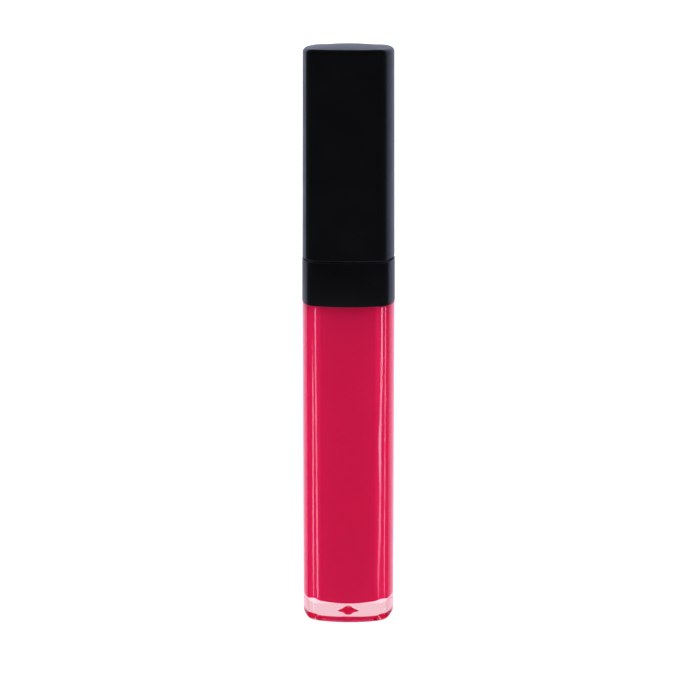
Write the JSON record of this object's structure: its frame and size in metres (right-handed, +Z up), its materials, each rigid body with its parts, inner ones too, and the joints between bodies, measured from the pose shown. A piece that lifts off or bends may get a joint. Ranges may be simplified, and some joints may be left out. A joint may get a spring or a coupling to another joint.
{
  "type": "lip gloss tube",
  "caption": "Slim square lip gloss tube: thick clear bottle of crimson gloss, black collar and a tall black screw cap that carries the wand.",
  "frame": {"origin": "centre of the base, on the surface the tube stands on", "axes": "+Z up along the tube from base to cap; the face that looks along -Y is the front"},
  "size_m": [0.0184, 0.0184, 0.114],
  "materials": {
    "clear_plastic": "clear polished moulding, thick walled",
    "gloss": "crimson gloss, stands in for a thick liquid",
    "wiper_plastic": "soft milky moulding",
    "soft_touch": "black soft-touch coat",
    "liner_plastic": "black moulding",
    "washer_foam": "white foam",
    "stem_plastic": "natural translucent moulding",
    "core_elastomer": "satin",
    "flock": "short nylon flock wetted with gloss"
  },
  "bodies": {
    "bottle": {"bottle": "clear_plastic", "gloss_fill": "gloss", "wiper": "wiper_plastic", "collar": "soft_touch"},
    "washer": {"seal_washer": "washer_foam"},
    "stem": {"stem": "stem_plastic"},
    "cap": {"cap_shell": "soft_touch", "cap_liner": "liner_plastic", "tip_core": "core_elastomer", "tip_flock": "flock"}
  },
  "joints": [
    {"name": "cap_pull", "type": "slide", "parent": "bottle", "child": "washer", "axis": [0, 0, 1], "range_m": [0, 0.084]},
    {"name": "cap_rise", "type": "slide", "parent": "washer", "child": "stem", "axis": [0, 0, 1], "range_m": [0, 0.00376]},
    {"name": "cap_turn", "type": "hinge", "parent": "stem", "child": "cap", "pos_m": [0, 0, 0.09], "axis": [0, 0, 1], "range_deg": [0, 540]}
  ],
  "couplings": [
    {"joint": "cap_rise", "follows": "cap_turn", "m_per_rad": 0.00039789}
  ]
}
